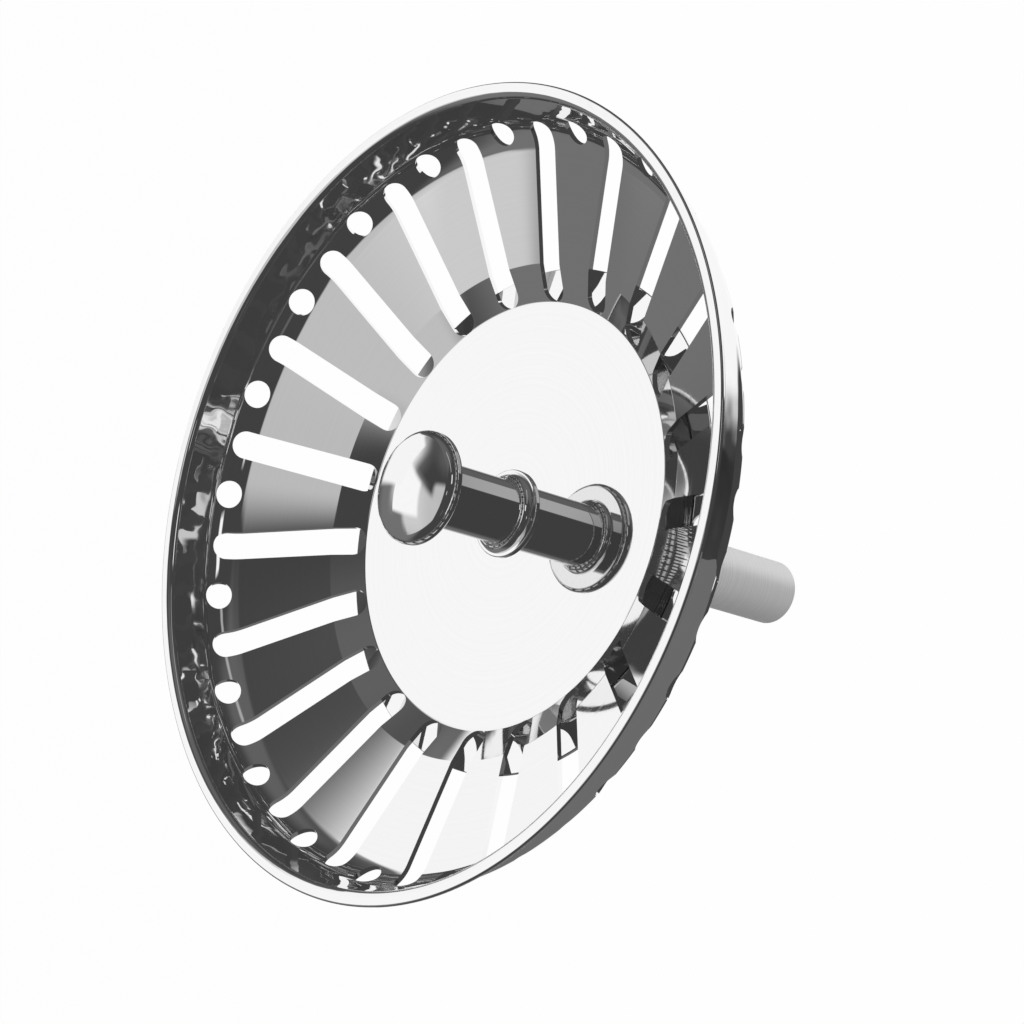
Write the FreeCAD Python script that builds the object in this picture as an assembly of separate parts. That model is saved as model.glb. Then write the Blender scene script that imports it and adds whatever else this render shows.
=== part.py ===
import FreeCAD, Part
import math
import os

# Basket strainer plug for a kitchen sink: millimetres, +Z up along the stem's axis.
# The origin is on the axis, at the shoulder where the free tail stem begins.

# Pressed basket
rim_r = 40.0             # outer edge of the flat rim
rim_w = 1.4              # rim, from the wall's inner face out to the edge
rim_bend_r = 0.3         # inside radius of the bend from wall to rim
rim_edge_r = 0.2         # rounding of the rim's cut edge
sheet_t = 0.5            # stainless sheet
basket_depth = 12.2      # rim's top down to the base's polished face
base_r = 21.3            # flat part of the base
base_bend_r = 0.5        # inside radius of the bend from base to ramp
ramp_deg = 28.5          # short steep ramp round the base, its rise from the horizontal
ramp_r = 24.8            # where the ramp gives way to the cone
ramp_bend_r = 0.5        # inside radius of that bend, on the sheet's lower face
cone_deg = 20.0          # cone's rise from the horizontal
wall_lean_deg = 13.0     # wall's lean from the vertical
corner_r = 4.0           # inside radius of the bend from cone to wall

# Slots and holes, alternating round the cone
slot_count = 21
slot_w = 2.9
slot_end_deg = 45.0      # slot's outer end, turned about the corner bend from straight down
hole_d = 2.9
hole_deg = 52.0          # hole's axis, turned about the corner bend from straight down
cut_margin = 0.8         # cutters stand this far out of the sheet on both faces

# Pull knob
head_r = 5.6
head_edge_h = 1.0        # straight edge of the head, below its dome
head_edge_r = 0.45       # rounding of that edge
head_height = 10.7       # base's face up to the head's underside
dome_h = 1.6
neck_fillet_r = 0.8      # shaft to head
shaft_r = 3.2
foot_r = 4.4             # flared foot on the base
foot_edge_h = 0.3
socket_depth = 8.0
socket_gap = 0.5         # air above the spigot's end

# Stack under the base
plate_r = 25.5
plate_t = 0.5
plate_raise = 1.65       # pressed boss that holds the plate clear of the slots
plate_boss_r = 14.0
plate_bend_r = 0.4
boss_side_deg = 45.0     # slope of the boss's side
seal_r = 20.0
seal_t = 2.4
seal_edge_r = 0.9
seal_clear = 0.25        # seal's boss inside the plate's boss
washer_r = 13.0
washer_t = 1.2
washer_edge_r = 0.3

# Tail stem
stem_r = 3.35
stem_len = 32.8
stem_tip_r = 0.9
spigot_r = 2.5
spigot_tip_r = 0.5
bore_clear = 0.1         # spigot in the knob, basket, plate, seal and washer

# Heights that follow from the stack
seal_top = washer_t + seal_t
plate_boss_top = seal_top + plate_t + plate_raise
base_top = plate_boss_top + sheet_t
rim_top = base_top + basket_depth
bore_r = spigot_r + bore_clear
axis = FreeCAD.Vector(0, 0, 1)
centre = FreeCAD.Vector(0, 0, 0)


def point(radius, height):
    return FreeCAD.Vector(radius, 0, height)


def aim(angle):
    # Unit direction in the section plane, turned outwards from straight down.
    return point(math.sin(angle), -math.cos(angle))


def turn_of(before, corner, after):
    # Positive where a path that runs outwards bends up.
    first = corner - before
    second = after - corner
    return first.x * second.z - first.z * second.x


def bend_at(before, corner, after, radius):
    # Start, middle, end and centre of the arc that rounds one corner of an outline.
    back = (before - corner).normalize()
    ahead = (after - corner).normalize()
    half = back.getAngle(ahead) / 2
    inwards = (back + ahead).normalize()
    arc_centre = corner + inwards * (radius / math.sin(half))
    reach = radius / math.tan(half)
    return corner + back * reach, arc_centre - inwards * radius, corner + ahead * reach, arc_centre


def rounded_face(corners):
    # Flat face inside an outline of (corner, rounding radius) pairs.
    spans = []
    for i, (corner, radius) in enumerate(corners):
        before = corners[i - 1][0]
        after = corners[(i + 1) % len(corners)][0]
        if radius > 0:
            spans.append(bend_at(before, corner, after, radius)[:3])
        else:
            spans.append((corner, None, corner))
    edges = []
    for i, (start, middle, end) in enumerate(spans):
        if middle is not None:
            edges.append(Part.Arc(start, middle, end).toShape())
        following = spans[(i + 1) % len(spans)][0]
        if end.distanceToPoint(following) > 1e-6:
            edges.append(Part.makeLine(end, following))
    return Part.Face(Part.Wire(edges))


def turned(corners):
    return rounded_face(corners).revolve(centre, axis, 360)


def lines_meet(first, first_way, second, second_way):
    # Where two straight lines of the section plane cross.
    gap = second - first
    cross = first_way.x * second_way.z - first_way.z * second_way.x
    along = (gap.x * second_way.z - gap.z * second_way.x) / cross
    return first + first_way * along


def underside(path, thickness):
    # The same path on the sheet's lower face: each run moved down its normal, and met again.
    ways = [(b - a).normalize() for a, b in zip(path, path[1:])]
    starts = [a + point(way.z, -way.x) * thickness for a, way in zip(path, ways)]
    inner = [lines_meet(starts[i], ways[i], starts[i + 1], ways[i + 1]) for i in range(len(ways) - 1)]
    last = path[-1] + point(ways[-1].z, -ways[-1].x) * thickness
    return [starts[0]] + inner + [last]


def bent_sheet(path, bend_radii, thickness, edge_r):
    # Sheet of even thickness turned about the axis: its top path, then its lower face back again.
    top = [(path[0], 0)]
    low = underside(path, thickness)
    bottom = [(low[0], 0)]
    for i, radius in enumerate(bend_radii, start=1):
        rises = turn_of(path[i - 1], path[i], path[i + 1]) > 0
        top.append((path[i], radius if rises else radius + thickness))
        bottom.append((low[i], radius + thickness if rises else radius))
    top.append((path[-1], edge_r))
    bottom.append((low[-1], edge_r))
    return turned(top + bottom[::-1])


def basket_path():
    # Sharp corners of the basket's inner face, from the centre hole out to the rim's edge.
    ramp = math.radians(ramp_deg)
    rise = math.radians(cone_deg)
    lean = math.radians(wall_lean_deg)
    foot_r = base_r + base_bend_r * math.tan(ramp / 2)
    knee = point(ramp_r, base_top + (ramp_r - foot_r) * math.tan(ramp))
    brim = point(rim_r - rim_w, rim_top)
    corner = lines_meet(knee, point(math.cos(rise), math.sin(rise)), brim, point(math.sin(lean), math.cos(lean)))
    return [point(bore_r, base_top), point(foot_r, base_top), knee, corner, brim, point(rim_r, rim_top)]


def pin_cutter(spot, angle, radius):
    # Round cutter through the sheet at a spot on its upper face, square to the sheet there.
    return Part.makeCylinder(radius, sheet_t + 2 * cut_margin, spot - aim(angle) * cut_margin, aim(angle))


def slot_cutter(foot, knee, corner_centre):
    # Parallel-sided slot that follows the sheet up the ramp and the cone into the corner, with round ends.
    ramp = math.radians(ramp_deg)
    rise = math.radians(cone_deg)
    end = math.radians(slot_end_deg)
    first = foot + point(math.cos(ramp), math.sin(ramp)) * (slot_w / 2)
    last = corner_centre + aim(end) * corner_r
    stops = [(first, ramp), (knee, (ramp + rise) / 2), (corner_centre + aim(rise) * corner_r, rise), (last, end)]
    above = [spot - aim(angle) * cut_margin for spot, angle in stops]
    below = [spot + aim(angle) * (sheet_t + cut_margin) for spot, angle in stops]
    outline = above + below[::-1]
    side = Part.Face(Part.makePolygon(outline + outline[:1]))
    side.translate(FreeCAD.Vector(0, -slot_w / 2, 0))
    run = side.extrude(FreeCAD.Vector(0, slot_w, 0))
    return run.fuse([pin_cutter(first, ramp, slot_w / 2), pin_cutter(last, end, slot_w / 2)])


def spread(cutter, first_deg):
    # One copy of a cutter for each slot pitch round the axis.
    copies = []
    for i in range(slot_count):
        copy = cutter.copy()
        copy.rotate(centre, axis, first_deg + 360.0 * i / slot_count)
        copies.append(copy)
    return copies


def strainer_basket():
    path = basket_path()
    sheet = bent_sheet(path, [base_bend_r, ramp_bend_r, corner_r, rim_bend_r], sheet_t, rim_edge_r)
    corner_centre = bend_at(path[2], path[3], path[4], corner_r)[3]
    turn = math.radians(hole_deg)
    hole = pin_cutter(corner_centre + aim(turn) * corner_r, turn, hole_d / 2)
    slots = spread(slot_cutter(path[1], path[2], corner_centre), 0.0)
    holes = spread(hole, 180.0 / slot_count)
    return sheet.cut(slots + holes)


def ring_edges(solid, radius):
    # Level round edges of one radius.
    boxes = [(edge, edge.BoundBox) for edge in solid.Edges]
    return [edge for edge, box in boxes if abs(box.XMax - radius) < 1e-3 and box.ZLength < 1e-3]


def pull_knob():
    # Turned outline with sharp head edges, which are rounded afterwards.
    head_low = base_top + head_height
    head_high = head_low + head_edge_h
    socket_top = base_top + socket_depth
    foot_fillet = foot_r - shaft_r
    lower = rounded_face([
        (point(0, socket_top), 0),
        (point(bore_r, socket_top), 0),
        (point(bore_r, base_top), 0),
        (point(foot_r, base_top), 0),
        (point(foot_r, base_top + foot_edge_h), 0),
        (point(shaft_r, base_top + foot_edge_h), foot_fillet),
        (point(shaft_r, head_low), neck_fillet_r),
        (point(head_r, head_low), 0),
        (point(head_r, head_high), 0),
        (point(0, head_high), 0),
    ]).revolve(centre, axis, 360)
    dome_r = (head_r ** 2 + dome_h ** 2) / (2 * dome_h)
    slope = math.asin(head_r / dome_r) / 2
    crown = point(0, head_high + dome_h)
    shoulder = point(dome_r * math.sin(slope), head_high + dome_h - dome_r * (1 - math.cos(slope)))
    curve = Part.Arc(point(head_r, head_high), shoulder, crown).toShape()
    flat = Part.makePolygon([crown, point(0, head_high), point(head_r, head_high)]).Edges
    dome = Part.Face(Part.Wire([curve] + flat)).revolve(centre, axis, 360)
    knob = lower.fuse(dome).removeSplitter()
    return knob.makeFillet(head_edge_r, ring_edges(knob, head_r))


def backing_plate():
    flange_top = seal_top + plate_t
    slope = math.radians(boss_side_deg)
    boss_foot_r = plate_boss_r + plate_raise / math.tan(slope)
    path = [
        point(bore_r, plate_boss_top),
        point(plate_boss_r, plate_boss_top),
        point(boss_foot_r, flange_top),
        point(plate_r, flange_top),
    ]
    return bent_sheet(path, [plate_bend_r, plate_bend_r], plate_t, plate_t / 5)


def rubber_seal():
    # Moulded disc whose low boss fills the hollow under the plate's boss.
    slope = math.radians(boss_side_deg)
    boss_r = plate_boss_r - seal_clear - plate_t * math.tan(slope / 2)
    boss_foot_r = boss_r + plate_raise / math.tan(slope)
    boss_top = seal_top + plate_raise
    return turned([
        (point(bore_r, washer_t), 0),
        (point(seal_r, washer_t), seal_edge_r),
        (point(seal_r, seal_top), seal_edge_r),
        (point(boss_foot_r, seal_top), 0),
        (point(boss_r, boss_top), 0),
        (point(bore_r, boss_top), 0),
    ])


def clamp_washer():
    return turned([
        (point(bore_r, 0), 0),
        (point(washer_r, 0), washer_edge_r),
        (point(washer_r, washer_t), 0),
        (point(bore_r, washer_t), 0),
    ])


def tail_stem():
    spigot_top = base_top + socket_depth - socket_gap
    return turned([
        (point(0, -stem_len), 0),
        (point(stem_r, -stem_len), stem_tip_r),
        (point(stem_r, 0), 0),
        (point(spigot_r, 0), 0),
        (point(spigot_r, spigot_top), spigot_tip_r),
        (point(0, spigot_top), 0),
    ])


os.makedirs("parts", exist_ok=True)
for piece in (strainer_basket, pull_knob, backing_plate, rubber_seal, clamp_washer, tail_stem):
    piece().exportStep("parts/" + piece.__name__ + ".step")
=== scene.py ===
import math
import bpy
import numpy as np
from mathutils import Matrix, Vector


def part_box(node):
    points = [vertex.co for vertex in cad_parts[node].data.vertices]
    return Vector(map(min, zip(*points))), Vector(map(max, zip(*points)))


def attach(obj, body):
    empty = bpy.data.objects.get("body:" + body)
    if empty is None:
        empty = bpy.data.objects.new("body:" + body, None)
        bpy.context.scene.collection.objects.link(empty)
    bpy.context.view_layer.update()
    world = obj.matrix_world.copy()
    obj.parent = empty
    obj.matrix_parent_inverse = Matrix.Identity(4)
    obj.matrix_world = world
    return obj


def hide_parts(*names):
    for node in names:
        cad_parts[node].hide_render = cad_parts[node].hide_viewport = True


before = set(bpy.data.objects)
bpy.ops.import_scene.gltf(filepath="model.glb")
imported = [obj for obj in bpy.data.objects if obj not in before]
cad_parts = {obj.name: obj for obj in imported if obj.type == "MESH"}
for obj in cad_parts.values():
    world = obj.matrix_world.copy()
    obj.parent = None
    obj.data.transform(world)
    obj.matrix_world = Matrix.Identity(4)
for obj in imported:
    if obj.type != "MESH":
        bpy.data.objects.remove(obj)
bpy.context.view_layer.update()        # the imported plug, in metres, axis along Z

mm = 0.001
weldStep = 1e-7    # points closer than this are one
shortest = 1e-9    # a straight run shorter than this is left out
narrowest = 1e-5    # a cut narrower than this is closed
radians = math.radians
print("frame loaded:", sorted(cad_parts))


# Outlines: straight runs between corners, each corner turned on an arc of its own radius

def unit(v):
    return v / np.linalg.norm(v, axis=-1, keepdims=True)


# Corners are rows of r, z, radius. Each run keeps its start, heading angle, length and curvature:
# a straight run has curvature 0, an arc 1 / radius, positive where the outline turns left.
def routeOf(corners):
    rows = np.array(corners, float)
    at, radius = rows[:, :2], rows[:, 2]
    ways = unit(np.diff(at, axis=0))
    heading = np.arctan2(ways[:, 1], ways[:, 0])
    turn = np.arctan2(np.sin(np.diff(heading)), np.cos(np.diff(heading)))
    reach = np.concatenate([[0], radius[1:-1] * np.tan(np.abs(turn) / 2), [0]])
    lengths = np.linalg.norm(np.diff(at, axis=0), axis=1)
    runs = []
    for i in range(len(ways)):
        straight = lengths[i] - reach[i] - reach[i + 1]
        if straight > shortest:
            runs.append((*(at[i] + ways[i] * reach[i]), heading[i], straight, 0.0))
        if i < len(turn) and radius[i + 1] > 0:
            start = at[i + 1] - ways[i] * reach[i + 1]
            bend = abs(turn[i]) * radius[i + 1]
            runs.append((*start, heading[i], bend, np.sign(turn[i]) / radius[i + 1]))
    return np.array(runs)


# A point at distance d along a run: the start plus the integral of (cos, sin) of heading + curvature * d
def alongRun(run, d):
    r0, z0, heading, _, curve = np.moveaxis(np.asarray(run), -1, 0)
    angle = heading + curve * d
    bent = np.abs(curve) > 0
    safe = np.where(bent, curve, 1.0)
    r = r0 + np.where(bent, (np.sin(angle) - np.sin(heading)) / safe, d * np.cos(heading))
    z = z0 + np.where(bent, (np.cos(heading) - np.cos(angle)) / safe, d * np.sin(heading))
    return np.stack([r, z], -1), angle


# A turned solid: every run of its outline carried round the axis, normals square to the run
def turnedPatches(corners, arcSteps=14, turns=224):
    spin = np.linspace(0, 2 * np.pi, turns + 1)
    patches = []
    for run in routeOf(corners):
        d = np.linspace(0, run[3], arcSteps if run[4] else 2)
        at, angle = alongRun(run, d)
        normal = np.stack([np.sin(angle), -np.cos(angle)], -1)    # outwards, the outline runs anticlockwise
        patches.append((carried(at, spin), carried(normal, spin)))
    return patches


# Rows of (r, z) carried to every angle of spin: (r cos, r sin, z)
def carried(rz, spin):
    spin = np.broadcast_to(spin, (len(rz), np.shape(spin)[-1]))
    return np.stack([rz[:, :1] * np.cos(spin), rz[:, :1] * np.sin(spin), rz[:, 1:] + 0 * spin], -1)


# Grids of points and normals welded into one closed mesh, each corner keeping its own exact normal
def meshFrom(name, patches, material, node):
    points, normals, cells, first = [], [], [], 0
    for grid, normal in patches:
        index = first + np.arange(grid.shape[0] * grid.shape[1]).reshape(grid.shape[:2])
        ring = [index[:-1, :-1], index[1:, :-1], index[1:, 1:], index[:-1, 1:]]
        cells.append(np.stack(ring, -1).reshape(-1, 4))
        points.append(grid.reshape(-1, 3))
        normals.append(normal.reshape(-1, 3))
        first += index.size
    points, normals, cells = np.concatenate(points), np.concatenate(normals), np.concatenate(cells)
    face = np.cross(points[cells[:, 2]] - points[cells[:, 0]], points[cells[:, 3]] - points[cells[:, 1]])
    inward = (face * normals[cells].sum(1)).sum(1) < 0
    cells[inward] = cells[inward, ::-1]
    weld = np.floor(points / weldStep + 0.237).astype(np.int64)    # 0.237 keeps round sizes off a step's edge
    _, keep, same = np.unique(weld, axis=0, return_index=True, return_inverse=True)
    corner = same.reshape(-1)[cells]
    real = corner != np.roll(corner, -1, axis=1)    # a pole's cells lose a corner
    starts = np.concatenate([[0], np.cumsum(real.sum(1))[:-1]])
    mesh = bpy.data.meshes.new(name)
    mesh.vertices.add(len(keep))
    mesh.vertices.foreach_set("co", points[keep].ravel())
    mesh.loops.add(int(real.sum()))
    mesh.loops.foreach_set("vertex_index", corner[real].astype(np.int32))
    mesh.polygons.add(len(cells))
    mesh.polygons.foreach_set("loop_start", starts.astype(np.int32))
    mesh.polygons.foreach_set("use_smooth", np.ones(len(cells), bool))
    mesh.update(calc_edges=True)
    mesh.normals_split_custom_set(normals[cells][real])
    piece = bpy.data.objects.new(name, mesh)
    bpy.context.scene.collection.objects.link(piece)
    mesh.materials.append(material)
    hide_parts(node)
    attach(piece, "root")
    print(name, "made:", len(cells), "cells")
    return piece


# Shader nodes

def addNode(tree, kind, inputs, **settings):
    made = tree.nodes.new(kind)
    for name, value in settings.items():
        setattr(made, name, value)
    for socket, value in inputs.items():
        if isinstance(value, bpy.types.NodeSocket):
            tree.links.new(value, made.inputs[socket])
        else:
            made.inputs[socket].default_value = value
    return made.outputs[0]


def calc(tree, operation, *values):
    return addNode(tree, "ShaderNodeMath", dict(enumerate(values)), operation=operation)


def stepped(tree, value, start, end, low=0.0, high=1.0):    # smooth step from low at start to high at end
    levels = {"Value": value, "From Min": start, "From Max": end, "To Min": low, "To Max": high}
    return addNode(tree, "ShaderNodeMapRange", levels, interpolation_type="SMOOTHSTEP")


def between(tree, value, low, high, soft, upper=None):    # 1 from low to high, with soft sides
    rise = stepped(tree, value, low - soft, low + soft)
    fall = stepped(tree, value if upper is None else upper, high - soft, high + soft, 1.0, 0.0)
    return calc(tree, "MULTIPLY", rise, fall)


# Materials

def newMaterial(name, **sockets):
    material = bpy.data.materials.new(name)
    material.use_nodes = True
    tree = material.node_tree
    shader = tree.nodes["Principled BSDF"]
    for socket, value in sockets.items():
        shader.inputs[socket].default_value = value
    at = tree.nodes.new("ShaderNodeTexCoord").outputs["Object"]
    return material, tree, shader.inputs, at


def spread(tree, noise, low, high, faint=0.3, strong=0.7):    # a noise's usual range, from low to high
    return stepped(tree, noise, faint, strong, low, high)


def shades(tree, noise, dark, light):    # a grey between two levels, as a colour
    grey = spread(tree, noise, dark, light)
    return addNode(tree, "ShaderNodeCombineColor", {"Red": grey, "Green": grey, "Blue": grey})


# Polished metal: fine rings about the axis in tint and polish, noise along r = sqrt(x^2 + y^2).
# The pressed wall, outside rippleFrom, also has shallow ripples a few millimetres long.
polish = dict(dark=0.914, light=0.926, smooth=0.015, rough=0.03, rings=2600.0,
              rippleFrom=35.8 * mm, rippleFull=37.0 * mm, rippleScale=330.0, rippleDepth=0.035 * mm)


def polishedSteel(p):
    material, tree, sockets, at = newMaterial("polishedSteel", Metallic=1.0)
    parts = tree.nodes.new("ShaderNodeSeparateXYZ")
    tree.links.new(at, parts.inputs[0])
    x, y, _ = parts.outputs
    r = calc(tree, "SQRT", calc(tree, "MULTIPLY_ADD", x, x, calc(tree, "MULTIPLY", y, y)))
    rings = addNode(tree, "ShaderNodeTexNoise", {"W": r, "Scale": p["rings"], "Detail": 3.0},
                    noise_dimensions="1D")
    tree.links.new(shades(tree, rings, p["dark"], p["light"]), sockets["Base Color"])
    tree.links.new(spread(tree, rings, p["smooth"], p["rough"]), sockets["Roughness"])
    ripple = addNode(tree, "ShaderNodeTexNoise", {"Vector": at, "Scale": p["rippleScale"], "Detail": 1.0})
    wall = stepped(tree, r, p["rippleFrom"], p["rippleFull"])
    height = calc(tree, "MULTIPLY", ripple, wall)
    bump = addNode(tree, "ShaderNodeBump", {"Height": height, "Distance": p["rippleDepth"], "Strength": 1.0})
    tree.links.new(bump, sockets["Normal"])
    return material


# Satin stem: turning marks, noise along z
turning = dict(metal=0.45, dark=0.66, light=0.74, smooth=0.42, rough=0.55, marks=5200.0, depth=0.003 * mm)


def satinStem(t):
    material, tree, sockets, at = newMaterial("satinStem", Metallic=t["metal"])
    parts = tree.nodes.new("ShaderNodeSeparateXYZ")
    tree.links.new(at, parts.inputs[0])
    marks = addNode(tree, "ShaderNodeTexNoise", {"W": parts.outputs[2], "Scale": t["marks"], "Detail": 2.0},
                    noise_dimensions="1D")
    tree.links.new(shades(tree, marks, t["dark"], t["light"]), sockets["Base Color"])
    tree.links.new(spread(tree, marks, t["smooth"], t["rough"]), sockets["Roughness"])
    bump = addNode(tree, "ShaderNodeBump", {"Height": marks, "Distance": t["depth"], "Strength": 1.0})
    tree.links.new(bump, sockets["Normal"])
    return material


# Moulded rubber: faint cloudy greys and a fine grain, noise in all directions
grain = dict(dark=0.022, light=0.036, smooth=0.55, rough=0.70, clouds=260.0, grains=4200.0, depth=0.01 * mm)


def sealRubber(g):
    material, tree, sockets, at = newMaterial("sealRubber")
    clouds = addNode(tree, "ShaderNodeTexNoise", {"Vector": at, "Scale": g["clouds"], "Detail": 4.0})
    grains = addNode(tree, "ShaderNodeTexNoise", {"Vector": at, "Scale": g["grains"], "Detail": 2.0})
    tree.links.new(shades(tree, clouds, g["dark"], g["light"]), sockets["Base Color"])
    tree.links.new(spread(tree, grains, g["smooth"], g["rough"]), sockets["Roughness"])
    bump = addNode(tree, "ShaderNodeBump", {"Height": grains, "Distance": g["depth"], "Strength": 1.0})
    tree.links.new(bump, sockets["Normal"])
    return material


steel = polishedSteel(polish)
satin = satinStem(turning)
rubber = sealRubber(grain)
print("materials made")


# Strainer basket: one pressed sheet of even thickness, with slots and holes

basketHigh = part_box("strainer_basket")[1]
basket = dict(
    sheet=0.5 * mm, depth=12.2 * mm, bore=2.6 * mm,
    rimWidth=1.4 * mm, rimBend=0.3 * mm, rimEdge=0.2 * mm,
    baseRadius=21.3 * mm, baseBend=0.5 * mm,
    rampRise=radians(28.5), rampRadius=24.8 * mm, rampBend=0.5 * mm,    # short steep ramp round the base
    coneRise=radians(20.0), corner=4.0 * mm, wallLean=radians(13.0),
    slots=21, slotWidth=2.9 * mm, slotEnd=radians(45.0),
    holeWidth=2.9 * mm, holeTurn=radians(52.0),
    cellsAcross=7, rowsAlong=(5, 6, 6, 5, 11, 25, 4, 10, 2),    # grid, across half a pitch and along
    rowsAtEnd=10, rowsAtHole=25, rowsAtRim=7,    # rows where a slot's end, a hole or the rim is round
)
basket["rimRadius"] = basketHigh[0]
basket["rimTop"] = basketHigh[2]
basket["baseTop"] = basketHigh[2] - basket["depth"]


def lineMeet(p, a, q, b):    # lines through p and q, at angles a and b, cross here
    u, v = np.array([math.cos(a), math.sin(a)]), np.array([math.cos(b), math.sin(b)])
    gap = np.array(q) - np.array(p)
    return np.array(p) + u * (gap[0] * v[1] - gap[1] * v[0]) / (u[0] * v[1] - u[1] * v[0])


# The sheet's middle line: the upper face's base, ramp, cone, wall and rim lines, each moved by half the sheet
def sheetRoute(b):
    half = b["sheet"] / 2
    footRadius = b["baseRadius"] + b["baseBend"] * math.tan(b["rampRise"] / 2)
    knee = (b["rampRadius"], b["baseTop"] + (b["rampRadius"] - footRadius) * math.tan(b["rampRise"]))
    faces = [((0, b["baseTop"]), 0.0), ((footRadius, b["baseTop"]), b["rampRise"]), (knee, b["coneRise"])]
    faces += [((b["rimRadius"] - b["rimWidth"], b["rimTop"]), math.pi / 2 - b["wallLean"])]
    faces += [((0, b["rimTop"]), 0.0)]
    lines = [((r + half * math.sin(a), z - half * math.cos(a)), a) for (r, z), a in faces]
    meets = [lineMeet(*first, *second) for first, second in zip(lines, lines[1:])]
    bends = [b[name] + half for name in ("baseBend", "rampBend", "corner", "rimBend")]
    corners = [(b["bore"], b["baseTop"] - half, 0)]
    corners += [(*meet, bend) for meet, bend in zip(meets, bends)]
    corners += [(b["rimRadius"] - b["rimEdge"], b["rimTop"] - half, 0)]
    return routeOf(corners)


# Rows of the sheet's grid, close together where a slot or hole is round
def sheetStations(b, stops, slotIn, slotOut, holeMid, slotHalf, holeHalf):
    quarter = np.linspace(0, math.pi / 2, b["rowsAtEnd"])
    ease = np.linspace(0, math.pi, b["rowsAtHole"])
    parts = [np.linspace(a, z, n) for a, z, n in zip(stops[:-1], stops[1:], b["rowsAlong"])]
    parts += [slotIn - slotHalf * np.cos(quarter), slotOut + slotHalf * np.sin(quarter)]
    parts += [holeMid + holeHalf * np.cos(ease)]
    return np.unique(np.round(np.concatenate(parts), 8))


# Half width of a slot with round ends, or of a hole where both centres are one, at station s
def openHalf(s, first, last, half):
    over = np.maximum(np.maximum(first - s, s - last), 0)
    width = np.sqrt(np.maximum(half ** 2 - over ** 2, 0))
    return np.where(width < narrowest, 0, width)


# One face of the sheet between a slot's edge and the next hole's edge, then the walls of both cuts
def basketPatches(b):
    path = sheetRoute(b)
    stops = np.concatenate([[0], np.cumsum(path[:, 3])])
    half = b["sheet"] / 2
    slotHalf, holeHalf = b["slotWidth"] / 2, b["holeWidth"] / 2
    slotIn = stops[2] - b["baseBend"] * math.tan(b["rampRise"] / 2) + slotHalf
    slotOut = stops[5] + (b["corner"] + half) * (b["slotEnd"] - b["coneRise"])
    holeMid = stops[5] + (b["corner"] + half) * (b["holeTurn"] - b["coneRise"])
    s = sheetStations(b, stops, slotIn, slotOut, holeMid, slotHalf, holeHalf)
    which = np.clip(np.searchsorted(stops, s, "right") - 1, 0, len(path) - 1)
    middle, heading = alongRun(path[which], s - stops[which])
    up = np.stack([-np.sin(heading), np.cos(heading)], -1)
    ahead = np.stack([np.cos(heading), np.sin(heading)], -1)
    slotWide = openHalf(s, slotIn, slotOut, slotHalf)
    holeWide = openHalf(s, holeMid, holeMid, holeHalf)
    pitch = 2 * math.pi / b["slots"]
    across = np.linspace(0, 1, b["cellsAcross"] + 1)
    skins = {side: middle + side * half * up for side in (1, -1)}
    patches = []
    for k in range(b["slots"]):
        for hand in (1, -1):
            for side, skin in skins.items():
                low = np.arcsin(slotWide / skin[:, 0])[:, None]
                high = pitch / 2 - np.arcsin(holeWide / skin[:, 0])[:, None]
                spin = k * pitch + hand * (low + (high - low) * across)
                patches.append((carried(skin, spin), carried(side * up, spin)))
            for wide, middleTurn, first, last in (
                (slotWide, 0.0, slotIn, slotOut), (holeWide, pitch / 2, holeMid, holeMid),
            ):
                patches.append(cutWall(s, wide, first, last, skins, ahead, k * pitch + hand * middleTurn,
                                       hand if middleTurn == 0 else -hand))
    patches += sheetEnds(b)
    return patches


# The wall of one side of a cut, from the upper face's edge to the lower one's. Its normal points
# at the middle of the cut: straight across along the sides, at the end's centre round the ends.
def cutWall(s, wide, first, last, skins, ahead, turn, hand):
    rows = np.nonzero(wide > 0)[0]
    rows = np.arange(rows[0] - 1, rows[-1] + 2)
    off = np.clip(s[rows], first, last) - s[rows]
    lean = unit(np.stack([off, -wide[rows]], -1))
    edges, normals = [], []
    for side in (1, -1):
        skin = skins[side][rows]
        spin = turn + hand * np.arcsin(wide[rows] / skin[:, 0])
        edges.append(carried(skin, spin[:, None])[:, 0])
        around = np.stack([-np.sin(spin), np.cos(spin), 0 * spin], -1) * hand
        outwards = carried(ahead[rows], spin[:, None])[:, 0]
        normals.append(lean[:, :1] * outwards + lean[:, 1:] * around)
    return np.stack(edges, 1), np.stack(normals, 1)


# The rim's rounded edge and the centre hole's wall, turned about the axis
def sheetEnds(b):
    spin = sectorTurns(b)
    rim = [(b["rimRadius"] - b["rimEdge"], b["rimTop"] - b["sheet"], 0)]
    rim += [(b["rimRadius"], b["rimTop"] - b["sheet"], b["rimEdge"])]
    rim += [(b["rimRadius"], b["rimTop"], b["rimEdge"])]
    rim += [(b["rimRadius"] - b["rimEdge"], b["rimTop"], 0)]
    bore = [(b["bore"], b["baseTop"], 0), (b["bore"], b["baseTop"] - b["sheet"], 0)]
    patches = []
    for corners in (rim, bore):
        for run in routeOf(corners):
            at, angle = alongRun(run, np.linspace(0, run[3], b["rowsAtRim"] if run[4] else 2))
            normal = np.stack([np.sin(angle), -np.cos(angle)], -1)
            patches.append((carried(at, spin), carried(normal, spin)))
    return patches


# The angles of the sheet's own grid, so that its ends meet it point for point
def sectorTurns(b):
    pitch = 2 * math.pi / b["slots"]
    across = np.linspace(0, 1, b["cellsAcross"] + 1) * pitch / 2
    turns = [k * pitch + np.concatenate([-across[:0:-1], across]) for k in range(b["slots"])]
    return np.unique(np.round(np.concatenate(turns + [[2 * math.pi - pitch / 2]]), 12))


meshFrom("basketSheet", basketPatches(basket), steel, "strainer_basket")


# Pull knob: domed head, straight shaft, flared foot

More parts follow.
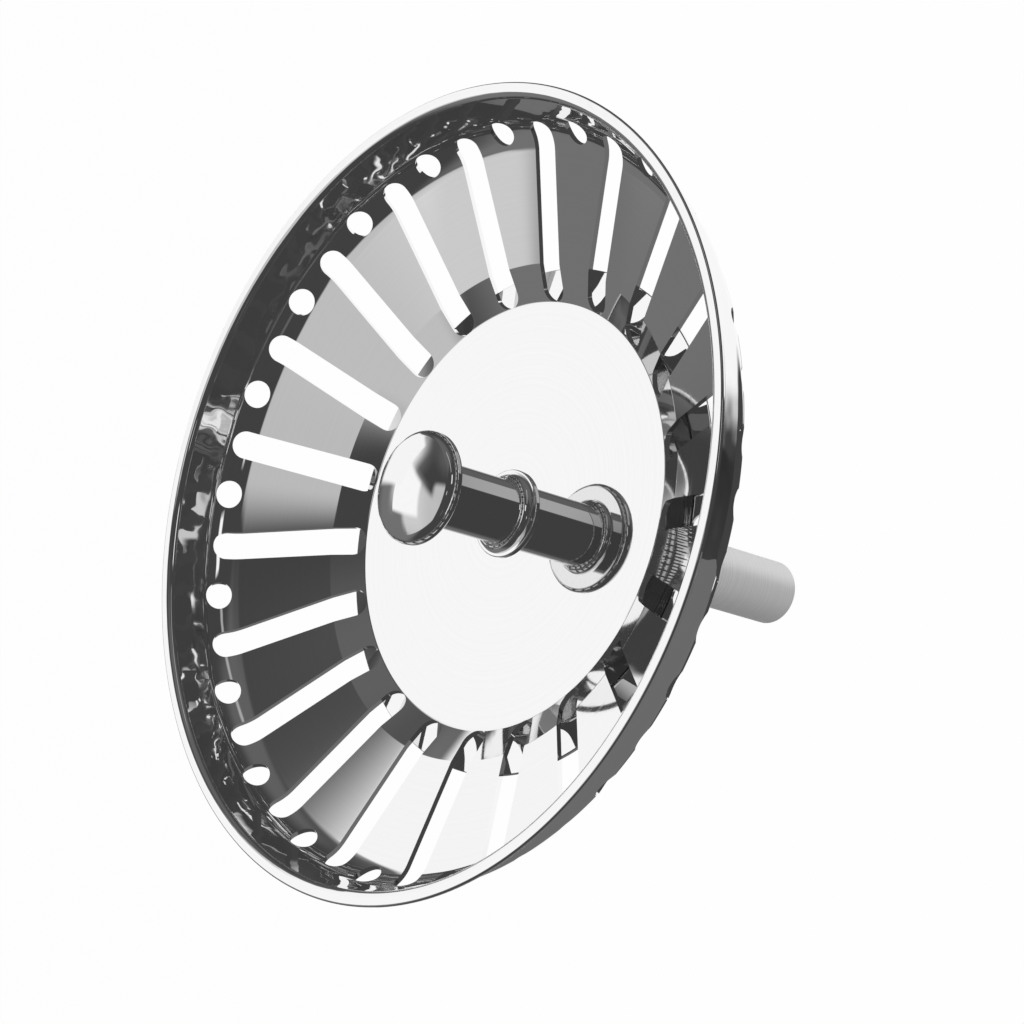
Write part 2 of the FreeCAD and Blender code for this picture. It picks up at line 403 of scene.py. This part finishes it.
knobLow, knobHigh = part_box("pull_knob")
knob = dict(
    socket=2.6 * mm, socketDepth=8.0 * mm, shaft=3.2 * mm,
    foot=4.4 * mm, footEdge=0.3 * mm, footRound=0.12 * mm, flare=1.07 * mm,
    headHeight=10.7 * mm, headEdge=1.45 * mm, headRound=0.45 * mm, neck=0.8 * mm,
    shoulder=1.1 * mm, domeHeight=1.15 * mm, domeSlope=radians(20.0),
)


def knobCorners(k):
    base, head = knobLow[2], knobHigh[0]
    low = base + k["headHeight"]
    high = low + k["headEdge"]
    crown = high + k["domeHeight"]
    brow = head - k["domeHeight"] / math.tan(k["domeSlope"])    # the dome's edge line meets its crown line
    return [
        (0, base + k["socketDepth"], 0),
        (k["socket"], base + k["socketDepth"], 0),
        (k["socket"], base, 0),
        (k["foot"], base, 0),
        (k["foot"], base + k["footEdge"], k["footRound"]),
        (k["shaft"], base + k["footEdge"], k["flare"]),
        (k["shaft"], low, k["neck"]),
        (head, low, k["headRound"]),
        (head, high, k["shoulder"]),
        (brow, crown, brow / math.tan(k["domeSlope"] / 2)),
        (0, crown, 0),
    ]


meshFrom("knobTurned", turnedPatches(knobCorners(knob), 18), steel, "pull_knob")


# Backing plate: thin polished disc with a pressed boss in the middle

plateLow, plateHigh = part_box("backing_plate")
plate = dict(sheet=0.5 * mm, bore=2.6 * mm, boss=14.0 * mm, bend=0.4 * mm, slope=radians(45.0), edge=0.1 * mm)


def plateCorners(p):
    low, top, outer = plateLow[2], plateHigh[2], plateHigh[0]
    lift = top - low - p["sheet"]
    foot = p["boss"] + lift / math.tan(p["slope"])
    shift = p["sheet"] * math.tan(p["slope"] / 2)    # the lower face's bends lie this much further in
    wide = p["bend"] + p["sheet"]
    return [
        (p["bore"], top - p["sheet"], 0),
        (p["boss"] - shift, top - p["sheet"], p["bend"]),
        (foot - shift, low, wide),
        (outer, low, p["edge"]),
        (outer, low + p["sheet"], p["edge"]),
        (foot, low + p["sheet"], p["bend"]),
        (p["boss"], top, wide),
        (p["bore"], top, 0),
        (p["bore"], top - p["sheet"], 0),
    ]


meshFrom("plateDisc", turnedPatches(plateCorners(plate), 8), steel, "backing_plate")


# Rubber seal, clamp washer and tail stem

sealLow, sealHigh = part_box("rubber_seal")
seal = dict(bore=2.6 * mm, round=0.9 * mm, clear=0.25 * mm)


# The seal's boss stands inside the plate's boss, its side parallel to the plate's and clear of it
def sealCorners(s, p):
    low, crown, outer = sealLow[2], sealHigh[2], sealHigh[0]
    top = plateLow[2]
    boss = p["boss"] - p["sheet"] * math.tan(p["slope"] / 2) - s["clear"]
    foot = boss + (crown - top) / math.tan(p["slope"])
    return [
        (s["bore"], low, 0),
        (outer, low, s["round"]),
        (outer, top, s["round"]),
        (foot, top, 0),
        (boss, crown, 0),
        (s["bore"], crown, 0),
        (s["bore"], low, 0),
    ]


meshFrom("sealDisc", turnedPatches(sealCorners(seal, plate), 8), rubber, "rubber_seal")

washerLow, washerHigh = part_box("clamp_washer")
washer = dict(bore=2.6 * mm, round=0.3 * mm)


def washerCorners(w):
    low, top, outer = washerLow[2], washerHigh[2], washerHigh[0]
    return [
        (w["bore"], low, 0),
        (outer, low, w["round"]),
        (outer, top, 0),
        (w["bore"], top, 0),
        (w["bore"], low, 0),
    ]


meshFrom("washerDisc", turnedPatches(washerCorners(washer), 8), steel, "clamp_washer")

stemLow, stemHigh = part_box("tail_stem")
stem = dict(spigot=2.5 * mm, tipRound=0.9 * mm, spigotRound=0.5 * mm, shoulder=0.0)


def stemCorners(s):
    low, top, outer = stemLow[2], stemHigh[2], stemHigh[0]
    return [
        (0, low, 0),
        (outer, low, s["tipRound"]),
        (outer, s["shoulder"], 0),
        (s["spigot"], s["shoulder"], 0),
        (s["spigot"], top, s["spigotRound"]),
        (0, top, 0),
    ]


meshFrom("stemTurned", turnedPatches(stemCorners(stem), 14), satin, "tail_stem")


# Camera: a long lens above the dish, rolled so that the stem runs off to the right

camera = dict(lens=99.95, sensor=36.0, turn=radians(-5.86), rise=radians(40.32), roll=radians(-73.31),
              distance=270.15 * mm, right=9.39 * mm, down=2.50 * mm, near=0.01, far=100.0)


def addCamera(c):
    back = Vector((math.sin(c["turn"]) * math.cos(c["rise"]), -math.cos(c["turn"]) * math.cos(c["rise"]),
                   math.sin(c["rise"])))
    level = Vector((math.cos(c["turn"]), math.sin(c["turn"]), 0))
    upright = back.cross(level)
    right = level * math.cos(c["roll"]) + upright * math.sin(c["roll"])
    up = back.cross(right)
    rimCentre = Vector((0, 0, basket["rimTop"]))
    data = bpy.data.cameras.new("studioCamera")
    data.lens, data.sensor_width = c["lens"], c["sensor"]
    data.clip_start, data.clip_end = c["near"], c["far"]
    shot = bpy.data.objects.new("studioCamera", data)
    place = rimCentre + back * c["distance"] + right * c["right"] - up * c["down"]
    shot.matrix_world = Matrix.Translation(place) @ Matrix((right, up, back)).transposed().to_4x4()
    bpy.context.scene.collection.objects.link(shot)
    bpy.context.scene.camera = shot


addCamera(camera)
print("camera set")


# Studio: a white sweep behind, a pale ceiling to the left, a dim room elsewhere

# Panels are painted over one another: degrees round from straight behind and degrees up,
# or, overhead, x and y at a height of 1. Soft is half the width of their edges.
studio = dict(
    room=0.055,
    ambient=0.62,
    horizon=0.05,    # overhead panels end this far above it
    panels=[
        dict(across=(46, 114), up=(19, 68), soft=12, level=0.124),        # side wall, right
        dict(across=(-55, 36), up=(1, 48), soft=12, level=0.174),         # back wall
        dict(across=(86, 135), up=(38, 43), soft=2, level=0.42),          # window, right
        dict(x=(-0.25, 0.13), y=(-0.02, 0.34), slant=0.0, soft=0.05, level=0.53),    # ceiling's near end
        dict(x=(-0.61, -0.20), y=(-0.02, 1.09), slant=0.5, soft=0.06, level=0.55),    # ceiling
        dict(x=(-0.52, -0.22), y=(0.50, 1.20), slant=0.5, soft=0.15, level=0.64),    # its bright end
        dict(x=(-0.31, -0.20), y=(0.64, 2.00), slant=0.5, soft=0.05, level=1.0),     # key panel
        dict(across=(-4, 33), up=(26, 40), soft=8.5, level=1.0),          # sweep
        dict(across=(4, 33), up=(1, 36), soft=1.5, level=0.98),           # sweep's foot
        dict(across=(-21, 27), up=(-52, -6), soft=3, level=0.925),        # floor, behind
        dict(across=(25, 138), up=(-65, -29), soft=2, level=1.0),         # floor, right
        dict(across=(-200, -21), up=(-89, -32), soft=3, level=0.154),     # floor, left
        dict(across=(132, 200), up=(-70, -48), soft=3, level=0.029),      # floor, front
        dict(across=(-8, 35), up=(-6, -1), soft=6, level=0.02),           # gap between sweep and floor
        dict(across=(143, 161), up=(27, 35), soft=1.5, level=1.0),        # far window
        dict(across=(-145, -133), up=(31, 35), soft=3.5, level=0.163),    # window, front left
        dict(x=(-0.04, 0.06), y=(-0.62, -0.50), slant=0.0, soft=0.02, level=0.64),    # ceiling lamp, front
    ],
)


def studioWorld(s):
    world = bpy.data.worlds.new("studio")
    bpy.context.scene.world = world
    world.use_nodes = True
    tree = world.node_tree
    sight = tree.nodes.new("ShaderNodeTexCoord").outputs["Generated"]
    parts = tree.nodes.new("ShaderNodeSeparateXYZ")
    tree.links.new(sight, parts.inputs[0])
    x, y, z = parts.outputs
    around = calc(tree, "MULTIPLY", calc(tree, "ARCTAN2", x, y), 180 / math.pi)
    up = calc(tree, "MULTIPLY", calc(tree, "ARCSINE", z), 180 / math.pi)
    height = calc(tree, "MAXIMUM", z, s["horizon"])
    overX, overY = calc(tree, "DIVIDE", x, height), calc(tree, "DIVIDE", y, height)
    level = s["room"]
    for p in s["panels"]:    # level + mask * (target - level)
        if "x" in p:
            leant = calc(tree, "MULTIPLY_ADD", overY, -p["slant"], overX)    # only the right edge slants
            wide = between(tree, overX, *p["x"], p["soft"], leant)
            tall = between(tree, overY, *p["y"], p["soft"])
        else:
            wide = between(tree, around, *p["across"], p["soft"])
            tall = between(tree, up, *p["up"], p["soft"])
        mask = calc(tree, "MULTIPLY", wide, tall)
        step = p["level"] - s["room"] if level == s["room"] else calc(tree, "SUBTRACT", p["level"], level)
        level = calc(tree, "MULTIPLY_ADD", mask, step, level)
    path = tree.nodes.new("ShaderNodeLightPath").outputs
    shown = calc(tree, "MAXIMUM", path["Is Camera Ray"], path["Is Transmission Ray"])
    # seen directly: white; in metal: the panels; as light on a matt face: one plain level
    extra = calc(tree, "SUBTRACT", level, s["ambient"])
    lit = calc(tree, "MULTIPLY_ADD", path["Is Glossy Ray"], extra, s["ambient"])
    strength = calc(tree, "MULTIPLY_ADD", shown, calc(tree, "SUBTRACT", 1.0, lit), lit)
    tree.links.new(strength, tree.nodes["Background"].inputs["Strength"])
    tree.nodes["Background"].inputs["Color"].default_value = (1, 1, 1, 1)


studioWorld(studio)

floor = dict(height=-0.25, half=6.0, white=0.97, dark=0.88, light=0.9, mottle=3.0)


# White floor: seen directly it is mostly its own white, so that the page stays white, and the rest is matt
# paint, which takes the shadow. Metal shows the painted studio in its place.
def addFloor(f):
    material = bpy.data.materials.new("whiteFloor")
    material.use_nodes = True
    tree = material.node_tree
    path = tree.nodes.new("ShaderNodeLightPath").outputs
    seen = calc(tree, "MAXIMUM", path["Is Camera Ray"], path["Is Transmission Ray"])
    at = tree.nodes.new("ShaderNodeTexCoord").outputs["Object"]
    mottle = addNode(tree, "ShaderNodeTexNoise", {"Vector": at, "Scale": f["mottle"]})
    tint = shades(tree, mottle, f["dark"], f["light"])
    paint = addNode(tree, "ShaderNodeBsdfDiffuse", {"Color": tint})
    glow = addNode(tree, "ShaderNodeEmission", {"Strength": 1.0})
    share = calc(tree, "MULTIPLY", seen, f["white"])
    both = addNode(tree, "ShaderNodeMixShader", {0: share, 1: paint, 2: glow})
    tree.links.new(both, tree.nodes["Material Output"].inputs["Surface"])
    tree.nodes.remove(tree.nodes["Principled BSDF"])
    mesh = bpy.data.meshes.new("whiteFloor")
    h, z = f["half"], f["height"]
    mesh.from_pydata([(-h, -h, z), (h, -h, z), (h, h, z), (-h, h, z)], [], [(0, 1, 2, 3)])
    mesh.materials.append(material)
    plane = bpy.data.objects.new("whiteFloor", mesh)
    plane.visible_glossy = False
    bpy.context.scene.collection.objects.link(plane)


addFloor(floor)

lamp = dict(size=0.5, power=3.5, place=(0.48, -0.58, 0.28))


def addLamp(p):    # one large soft lamp, in front of the dish and to its right, aimed at the origin
    data = bpy.data.lights.new("softLamp", "AREA")
    data.size, data.energy = p["size"], p["power"]
    made = bpy.data.objects.new("softLamp", data)
    made.location = p["place"]
    made.rotation_euler = Vector(p["place"]).to_track_quat("Z", "Y").to_euler()
    made.visible_glossy = False
    bpy.context.scene.collection.objects.link(made)


addLamp(lamp)
print("studio made")

bpy.context.scene.cycles.max_bounces = 24    # light goes to and fro between dish and plate
bpy.context.scene.cycles.glossy_bounces = 24
bpy.context.scene.view_settings.view_transform = "Standard"
